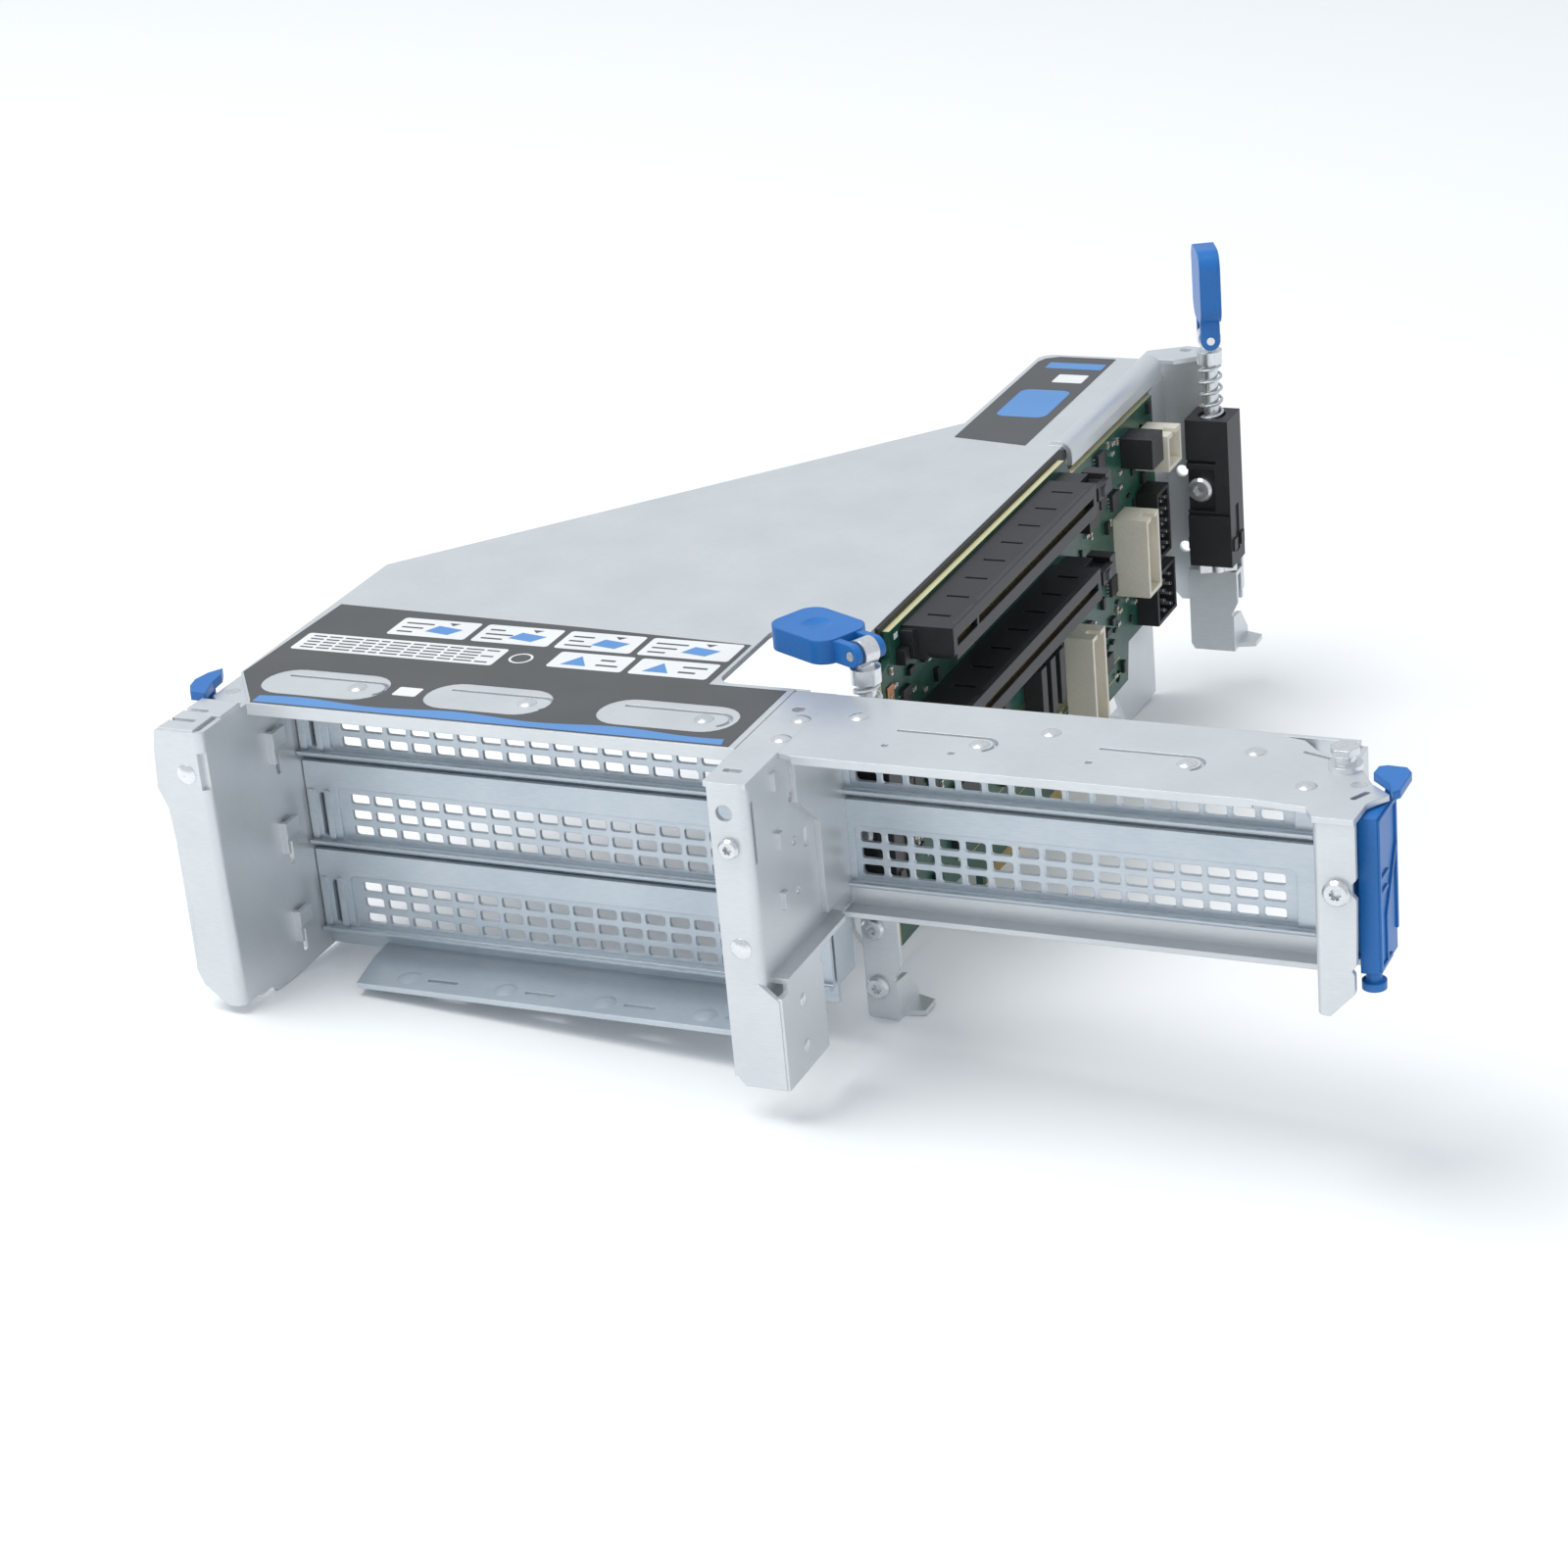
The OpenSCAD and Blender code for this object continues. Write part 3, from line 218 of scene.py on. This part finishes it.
EDGE = surface("board_edge", (0.56, 0.53, 0.30), (0.68, 0.65, 0.40), 0.0, 0.55, grain=3000, edge=0)

# the blanks and the wall behind them get a darker, bluer copy of the zinc, which is painted shade for
# their front faces lying in shadow
SHADED_ZINC = surface("zinc_blank_painted_shade", (0.52, 0.58, 0.63), (0.62, 0.67, 0.715), 0.55, 0.34, grain=420,
                    stretch=(1, 6, 6), bump=0.05)
SHADED_FACE_NODES = ("blank_1", "blank_2", "blank_3", "wing_blank_1", "wing_blank_2", "slot_wall")

for part in frame["record"]["subparts"]:
    shown = frame["nodes"][part["node"]]
    shown.data.materials.clear()
    # painted shade: the blanks and the slot wall take the darker copy of the zinc
    coat = SHADED_ZINC if part["node"] in SHADED_FACE_NODES else MATS[part["material_slot"]]
    shown.data.materials.append(coat)


# ---------------------------------------------------------------- drawing aids

def keep(name, mesh, mat, slot, body="cage"):
    """Shows a mesh as a piece of the part, riding on a body. Its slot is not used."""
    mesh.materials.clear()
    mesh.materials.append(mat)
    ob = bpy.data.objects.new(name, mesh)
    scene.collection.objects.link(ob)
    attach(ob, body)
    return ob


def flat(name, loops, z0, z1, mat, slot, place=None, body="cage"):
    """A thin plate with holes, from closed loops in millimetres, upright between z0 and z1."""
    curve = bpy.data.curves.new(name + "_line", "CURVE")
    curve.dimensions = "2D"
    curve.fill_mode = "BOTH"
    curve.extrude = (z1 - z0) / 2 * MM
    for loop in loops:
        line = curve.splines.new("POLY")
        line.points.add(len(loop) - 1)
        for point, (x, y) in zip(line.points, loop):
            point.co = (x * MM, y * MM, 0, 1)
        line.use_cyclic_u = True
    holder = bpy.data.objects.new(name + "_line", curve)
    mesh = bpy.data.meshes.new_from_object(holder)
    mesh.name = name
    bpy.data.objects.remove(holder)
    bpy.data.curves.remove(curve)
    mesh.transform(Matrix.Translation((0, 0, (z0 + z1) / 2 * MM)))
    if place is not None:
        mesh.transform(place)
    return keep(name, mesh, mat, slot, body)


def box_loop(x0, y0, x1, y1, r=0.0):
    """A rectangle's outline, with round corners where a radius is given."""
    if r <= 0:
        return [(x0, y0), (x1, y0), (x1, y1), (x0, y1)]
    points = []
    rounds = ((x1 - r, y0 + r, -90), (x1 - r, y1 - r, 0), (x0 + r, y1 - r, 90), (x0 + r, y0 + r, 180))
    for cx, cy, start in rounds:
        for k in range(7):
            a = math.radians(start + 15 * k)
            points.append((cx + r * math.cos(a), cy + r * math.sin(a)))
    return points


def disc(x, y, r, sides=24):
    turns = [math.tau * k / sides for k in range(sides)]
    return [(x + r * math.cos(a), y + r * math.sin(a)) for a in turns]


def boxes(name, items, mat, slot, body="cage", chamfer=0.0):
    """Many small blocks as one mesh, each given by its two corners in millimetres."""
    mesh = bpy.data.meshes.new(name)
    bm = bmesh.new()
    for lo, hi in items:
        made = bmesh.ops.create_cube(bm, size=1)["verts"]
        for v in made:
            v.co = Vector([(lo[i] + hi[i]) / 2 * MM + v.co[i] * (hi[i] - lo[i]) * MM for i in range(3)])
        if chamfer:
            bmesh.ops.bevel(bm, geom=list({e for v in made for e in v.link_edges}), offset=chamfer * MM,
                            segments=2, affect="EDGES", profile=0.5)
    bm.to_mesh(mesh)
    bm.free()
    return keep(name, mesh, mat, slot, body)


# ---------------------------------------------------------------- labels on the cover

# Heights of the print's layers over the cover, each from its underside to its top
LABEL_FILM = (0.02, 0.10)
CARD_LAYER = (0.10, 0.13)
BAND_LAYER = (0.10, 0.14)
TAG_LAYER = (0.10, 0.15)
MARK_LAYER = (0.13, 0.15)
# An ink is a material and the record's slot that it goes with
DARK_INK = (LABEL, "black_plastic")
BLUE_INK = (LABEL_BLUE, "blue_plastic")
WHITE_INK = (LABEL_WHITE, "cream_plastic")

# The windows that leave the cover's spring tongues bare
STADIUM_SPANS = ((-13.8, 14.8), (24.0, 51.8), (62.8, 92.7))
STADIUM_FRONT, STADIUM_BACK, STADIUM_R = -13.7, -0.9, 6.3


def printed(name, loops, layer, ink):
    return flat(name, loops, layer[0], layer[1], *ink)


def near_label():
    windows = [box_loop(a, STADIUM_FRONT, b, STADIUM_BACK, STADIUM_R) for a, b in STADIUM_SPANS]
    outline = [(-10.6, -18.9), (96.0, -18.9), (96.0, 9.0), (79.0, 9.0), (79.0, 30.0), (40, 32.0),
               (-19.5, 34.0), (-20.6, -4.8), (-11.0, -18.0)]
    printed("label_near", [outline] + windows, LABEL_FILM, DARK_INK)
    # a plain blue band along the front edge, below the windows
    left, front, step = -10.2, -18.6, 2.0
    wave = [(left + step * k, -15.5 + 0.7 * math.sin(k * 0.35)) for k in range(53)]
    printed("label_band", [[(left, front), (94.4, front)] + wave[::-1]], BAND_LAYER, BLUE_INK)


def label_cards():
    """White cards with plain bars and blue shapes, two rows and one wide card of lines."""
    cards, marks, blues = [], [], []
    for k, (x0, x1) in enumerate(((-1, 17.5), (19, 37), (38.5, 56), (57.5, 78))):
        cards.append((x0, 20.4, x1, 29.6))
        bar_x = x0 + 1.6
        for step in range(3):
            length = (x1 - x0) * (0.2 + 0.08 * ((k + step) % 3))
            marks.append(box_loop(bar_x, 22.0 + 2.3 * step, bar_x + length, 22.7 + 2.3 * step, 0.3))
        mid = (x0 + x1) / 2 + 1
        blues.append([(mid - 2.4, 23.2), (mid + 3.4, 22.2), (mid + 5.6, 25.4), (mid - 0.6, 26.6)])
        marks.append([(mid + 1.0, 28.4), (mid + 3.6, 28.4), (mid + 2.3, 27.0)])
    for k, (x0, x1) in enumerate(((41.5, 58.5), (60, 77.5))):
        cards.append((x0, 10.8, x1, 18.8))
        blues.append([(x0 + 2.6, 12.4), (x0 + 8.4, 12.4), (x0 + 5.5, 17.2)])
        for step in range(2):
            end = x1 - 1.8 - 1.6 * ((k + step) % 2)
            marks.append(box_loop(x0 + 10.2, 13 + 2.6 * step, end, 13.8 + 2.6 * step, 0.3))
    cards.append((-17.6, 8.8, 30.0, 17.6))
    for k, (x0, y0, x1, y1) in enumerate(cards):
        printed("label_card_%d" % k, [box_loop(x0, y0, x1, y1, 0.8)], CARD_LAYER, WHITE_INK)
    for k, loop in enumerate(marks):
        printed("label_mark_%d" % k, [loop], MARK_LAYER, DARK_INK)
    for k, loop in enumerate(blues):
        printed("label_spot_%d" % k, [loop], MARK_LAYER, BLUE_INK)


def label_lines():
    """Broken lines in the wide card, a ring and a tag. None of it can be read."""
    low, high = MARK_LAYER
    rows = []
    for k in range(5):
        x = -15.8
        while x < 27.5 - 3 * (k % 2):
            step = 2.0 + 1.1 * ((k * 3 + int(x * 1.7)) % 3)
            rows.append(((x, 9.9 + 1.5 * k, low), (min(x + step, 28.4), 10.5 + 1.5 * k, high)))
            x += step + 0.7
    boxes("label_rows", rows, *DARK_INK)
    printed("label_square", [disc(34.6, 13.6, 2.6), disc(34.6, 13.6, 2.1)], CARD_LAYER, WHITE_INK)
    printed("label_tag", [box_loop(17.0, -9.6, 22.4, -5.4, 0.5)], TAG_LAYER, WHITE_INK)


def far_label():
    """The label on the cover's neck, beside the rolled bead."""
    outline = [(73.2, 171.0), (73.2, 160.0), (91.8, 157.0), (91.8, 221.4), (77.2, 221.4),
               (74.2, 219.6), (73.2, 217.0)]
    printed("label_far", [outline], LABEL_FILM, DARK_INK)
    printed("label_far_sign", [box_loop(77.0, 176.0, 89.5, 196.0, 2.4)], BAND_LAYER, BLUE_INK)
    printed("label_far_strip", [box_loop(76.6, 212.4, 91.0, 216.8, 0.4)], BAND_LAYER, BLUE_INK)
    printed("label_far_tag", [box_loop(82.0, 202.0, 89.6, 208.0, 0.5)], TAG_LAYER, WHITE_INK)


# ---------------------------------------------------------------- the riser board's small parts

BOARD_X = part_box("riser_board")[1][0] * 1000
# Widths, heights and thicknesses of the small parts, and the share of draws up to each
SMALL, MEDIUM, LARGE = (1.6, 0.8, 0.6), (2.9, 1.6, 1.0), (4.6, 4.2, 1.1)
SMALL_SHARE, CAP_SHARE, MEDIUM_SHARE = 0.6, 0.45, 0.88
PART_COUNT, MOST_TRIES = 190, 6000
CAP_END = 0.24


def on_board(y0, z0, y1, z1, rise, sink=0.0):
    """A block on the board's face, between two corners and standing up by its rise."""
    return ((BOARD_X - sink, y0, z0), (BOARD_X + rise, y1, z1))


def taken_fields():
    """The fields of the board that the CAD parts fill: Y from and to, Z from and to."""
    solids = [[[c * 1000 for c in corner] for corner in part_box(n)] for n in
              ("connector_upper", "connector_lower", "connector_lever_upper", "connector_lever_lower")]
    return [(lo[1] - 1.5, hi[1] + 1.5, lo[2] - 1.2, hi[2] + 1.2) for lo, hi in solids] + [
        (199, 211, -21.5, -10.5), (181, 192, -47, -25), (144, 155, -67, -41), (195, 211, -60, -45),
        (198, 209, -44, -25), (189, 199, -17.5, -8), (47, 51, -10.5, -5), (117, 134, -53, -38),
        (69, 85, -63, -47), (99, 110, -61, -50), (159, 168, -23, -14), (41, 46, -22.5, -17.5),
        (41, 46, -64.5, -59.5)]


def cap_ends(y, z, w, h, t):
    """The two metal ends of a capacitor, across its longer way."""
    rise = t + 0.05
    if w > h:
        return [on_board(y - 0.06, z - 0.05, y + w * CAP_END, z + h + 0.05, rise),
                on_board(y + w * (1 - CAP_END), z - 0.05, y + w + 0.06, z + h + 0.05, rise)]
    return [on_board(y - 0.05, z - 0.06, y + w + 0.05, z + h * CAP_END, rise),
            on_board(y - 0.05, z + h * (1 - CAP_END), y + w + 0.05, z + h + 0.06, rise)]


def chip_legs(y, z, w):
    """Four legs on each side of a large chip."""
    legs = []
    for k in range(4):
        z0, z1 = z + 0.5 + 0.9 * k, z + 0.8 + 0.9 * k
        legs += [on_board(y - 0.6, z0, y + 0.1, z1, 0.25),
                 on_board(y + w - 0.1, z0, y + w + 0.6, z1, 0.25)]
    return legs


def board_details():
    """Small chips and capacitors strewn over the board's free field, then traces and marks."""
    rng = random.Random(31)
    busy = taken_fields()

    def free(y, z, w, h):
        return all(y + w < a or y > b or z + h < c or z > d for a, b, c, d in busy)

    chips, caps, ends, legs = [], [], [], []
    tries = 0
    while len(chips) + len(caps) < PART_COUNT and tries < MOST_TRIES:
        tries += 1
        y, z = rng.uniform(42, 211), rng.uniform(-68, -8)
        if y > 186 and z < -59:
            continue
        kind = rng.random()
        w, h, t = SMALL if kind < SMALL_SHARE else (MEDIUM if kind < MEDIUM_SHARE else LARGE)
        if rng.random() < 0.5:
            w, h = h, w
        if not free(y, z, w, h):
            continue
        busy.append((y - 0.6, y + w + 0.6, z - 0.6, z + h + 0.6))
        block = on_board(y, z, y + w, z + h, t, sink=0.02)
        if kind < CAP_SHARE:
            caps.append(block)
            ends += cap_ends(y, z, w, h, t)
        else:
            chips.append(block)
            if kind >= MEDIUM_SHARE:
                legs += chip_legs(y, z, w)
    boxes("smd_chips", chips, MATS["black_plastic"], "black_plastic", chamfer=0.06)
    boxes("smd_caps", caps, TAN, "cream_plastic", chamfer=0.05)
    boxes("smd_ends", ends + legs, MATS["bright_steel"], "bright_steel")
    traces = []
    for k in range(26):
        y, z = rng.uniform(46, 150), -47.5 - 0.8 * k
        traces.append(on_board(y, z, min(y + rng.uniform(14, 50), 182), z + 0.22, 0.03))
    boxes("board_traces", traces, GOLD, "board_green")
    marks = [on_board(178, -36.9, 179.4, -35.5, 0.05), on_board(47.5, -3.9, 49.5, -2.6, 0.05),
             on_board(64.8, -15.6, 66.6, -14.2, 0.05)]
    boxes("board_marks", marks, LABEL_WHITE, "cream_plastic")
    boxes("board_pad", [on_board(41.6, -16.4, 44.8, -12.2, 0.4)], COPPER, "bright_steel", chamfer=0.1)


def board_edges():
    """The bare, pale cut of the board along its top and its front."""
    edge_x0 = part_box("riser_board")[0][0] * 1000
    top = [((edge_x0 + 0.05, 45.4, -1.32), (BOARD_X - 0.05, 151.8, -1.24)),
           ((edge_x0 + 0.05, 156.2, -6.02), (BOARD_X - 0.05, 213.8, -5.94))]
    boxes("board_edge_top", top, EDGE, "board_green")
    front = [((edge_x0 + 0.1, 39.42, -69.8), (BOARD_X - 0.1, 39.52, -8.7))]
    boxes("board_edge_front", front, EDGE, "board_green")


def connector_contacts():
    """Gold contacts on both sides of each card slot, with a tick over each on the body."""
    start, first, pitch = 51.7, 2.6, 1.0
    key = (13.2, 16.6)
    offset, half = 0.72, 0.14
    for name, tag in (("connector_upper", "upper"), ("connector_lower", "lower")):
        lo, hi = [[c * 1000 for c in corner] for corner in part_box(name)]
        face, top = hi[0], hi[2]
        mid = (lo[2] + hi[2]) / 2
        gold, ticks = [], []
        for k in range(82):
            y = start + first + pitch * k
            if key[0] < y - start < key[1]:
                continue
            for side in (-1, 1):
                z = mid + side * offset
                gold.append(((face - 7.4, y, z - half), (face - 1.2, y + 0.5, z + half)))
            ticks.append(((face - 1.3, y + 0.1, top), (face - 0.3, y + 0.42, top + 0.03)))
        boxes("contacts_" + tag, gold, GOLD, "bright_steel")
        boxes("ticks_" + tag, ticks, *DARK_INK)


def card_edge():
    """The gold fingers along the riser board's lower edge, on both faces."""
    x0, x1 = [corner[0] * 1000 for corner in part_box("riser_board")]
    low, high, wide = -79.8, -75.6, 0.62
    key = (124.6, 129.4)
    fingers = []
    for k in range(78):
        y = 88.0 + 1.0 * k
        if key[0] < y < key[1]:
            continue
        fingers.append(((x0 - 0.03, y, low), (x0 + 0.01, y + wide, high)))
        fingers.append(((x1 - 0.01, y, low), (x1 + 0.03, y + wide, high)))
    boxes("card_edge_fingers", fingers, GOLD, "board_green")


def header_pins():
    """The square ends of the pins in the two pin headers."""
    half = 0.36
    gold = []
    for y, z, size_y, size_z, pins in ((196, -59, 14, 13, 4), (199, -43, 9, 17, 5)):
        for k in range(pins):
            for r in (0, 1):
                cy = y + size_y * (0.33 + 0.34 * r)
                cz = z + 2.6 + k * (size_z - 5.2) / (pins - 1)
                gold.append(((BOARD_X + 3.0, cy - half, cz - half),
                             (BOARD_X + 5.6, cy + half, cz + half)))
    boxes("header_pins", gold, MATS["bright_steel"], "bright_steel", chamfer=0.1)


# ---------------------------------------------------------------- the right retainer

def retainer_ribs():
    """Low ribs and a brace on the outer face of the right retainer's web."""
    pivot_r, web_face = 1.5, 6.0
    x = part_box("right_pivot")[0][0] * 1000 + pivot_r + web_face
    y = -10.0
    top, low = -1.9, -32.2
    back, high = x - 0.1, x + 0.4
    # each rib: Y from and to, both from the pivot, then Z from and to
    ribs = ((-10.4, -9.5, low + 0.1, top), (0.6, 1.4, low + 4, top), (-9.5, 0.6, top - 0.9, top),
            (-9.5, -3.0, low + 0.1, low + 1.0), (-9.5, -4.6, -14.4, -13.6), (-9.5, -5.2, -17.2, -16.4),
            (-6.4, -5.6, low + 1.0, -22.0))
    blue = (MATS["blue_plastic"], "blue_plastic")
    boxes("right_retainer_ribs", [((back, y + a, c), (high, y + b, d)) for a, b, c, d in ribs], *blue,
          body="right_clip", chamfer=0.08)
    side = [(y - 6.4, -22.0), (y - 5.6, -22.0), (y + 0.9, -11.6), (y + 0.9, -10.2)]
    verts = [(px * MM, a * MM, b * MM) for px in (back, high) for a, b in side]
    faces = [(3, 2, 1, 0), (4, 5, 6, 7), (0, 1, 5, 4), (1, 2, 6, 5), (2, 3, 7, 6), (3, 0, 4, 7)]
    mesh = bpy.data.meshes.new("right_retainer_brace")
    mesh.from_pydata(verts, [], faces)
    keep("right_retainer_brace", mesh, *blue, "right_clip")


near_label()
label_cards()
label_lines()
far_label()
board_details()
board_edges()
connector_contacts()
card_edge()
retainer_ribs()
header_pins()


make_camera()
make_stage()
make_light()
